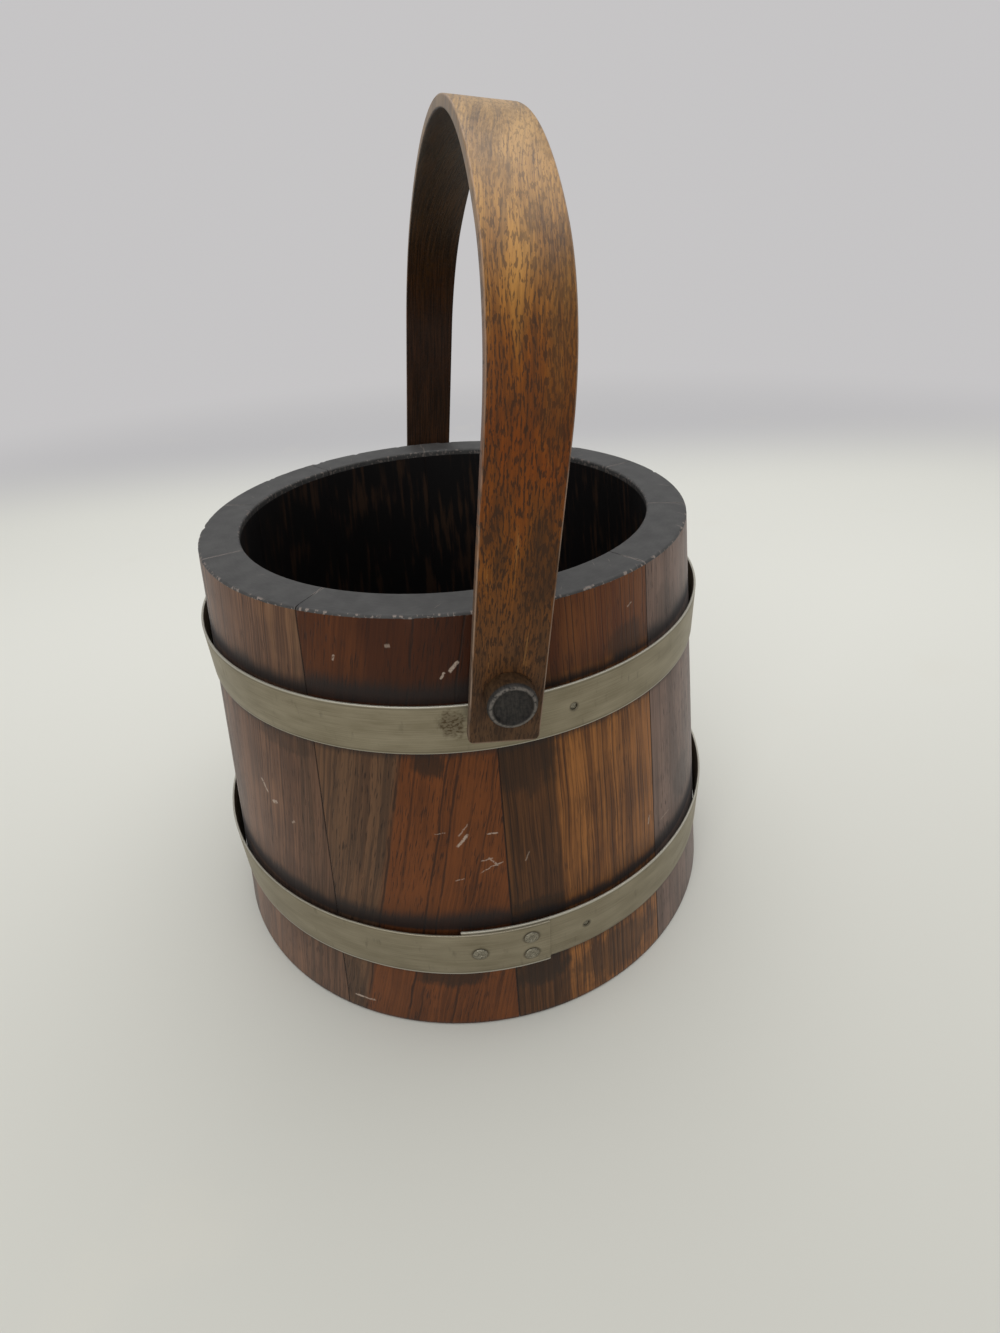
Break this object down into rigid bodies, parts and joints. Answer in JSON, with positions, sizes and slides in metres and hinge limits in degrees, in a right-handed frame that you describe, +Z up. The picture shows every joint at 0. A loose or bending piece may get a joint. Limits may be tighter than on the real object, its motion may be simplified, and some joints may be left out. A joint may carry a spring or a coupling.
{
  "type": "wooden bucket",
  "caption": "Stave-built wooden bucket, wider at the foot than at the rim, with lapped steel hoops and a bentwood handle that swings on wooden pins.",
  "frame": {"origin": "centre of the foot, on the surface the bucket stands on", "axes": "+Z up; Y runs along the line of the handle pins, with the near pin on -Y; at rest the handle leans towards +X"},
  "size_m": [0.2598, 0.265, 0.3459],
  "materials": {
    "stave_golden": "golden-brown stained wood with dark grain, worn varnish",
    "stave_umber": "grey-brown stained wood, worn varnish",
    "stave_brown": "mid-brown stained wood, worn varnish",
    "stave_dark": "dark red-brown stained wood, worn varnish",
    "stave_orange": "orange-brown stained wood, worn varnish",
    "board_wood": "dark stained boards",
    "dowel_wood": "bare hardwood",
    "pin_wood": "dark stained turned wood, blackened head",
    "strap_wood": "bentwood, stained yellow-brown with dark flecks, satin varnish",
    "hoop_steel": "dull brushed strip",
    "fixing_steel": "dull"
  },
  "bodies": {
    "bucket": {"stave_01": "stave_golden", "stave_02": "stave_umber", "stave_03": "stave_brown", "stave_04": "stave_dark", "stave_05": "stave_orange", "stave_06": "stave_golden", "stave_07": "stave_umber", "stave_08": "stave_brown", "stave_09": "stave_dark", "stave_10": "stave_orange", "bottom_board_left": "board_wood", "bottom_board_middle": "board_wood", "bottom_board_right": "board_wood", "bottom_dowels": "dowel_wood", "upper_hoop": "hoop_steel", "lower_hoop": "hoop_steel", "upper_hoop_rivets": "fixing_steel", "upper_hoop_brads": "fixing_steel", "lower_hoop_rivets": "fixing_steel", "lower_hoop_brads": "fixing_steel", "near_spacer": "pin_wood", "far_spacer": "pin_wood", "near_pin": "pin_wood", "far_pin": "pin_wood"},
    "handle": {"bail_handle": "strap_wood"}
  },
  "joints": [
    {"name": "handle_swing", "type": "hinge", "parent": "bucket", "child": "handle", "pos_m": [0.0031, 0, 0.175], "axis": [0, 1, 0], "range_deg": [-132.5, 121.5]}
  ]
}
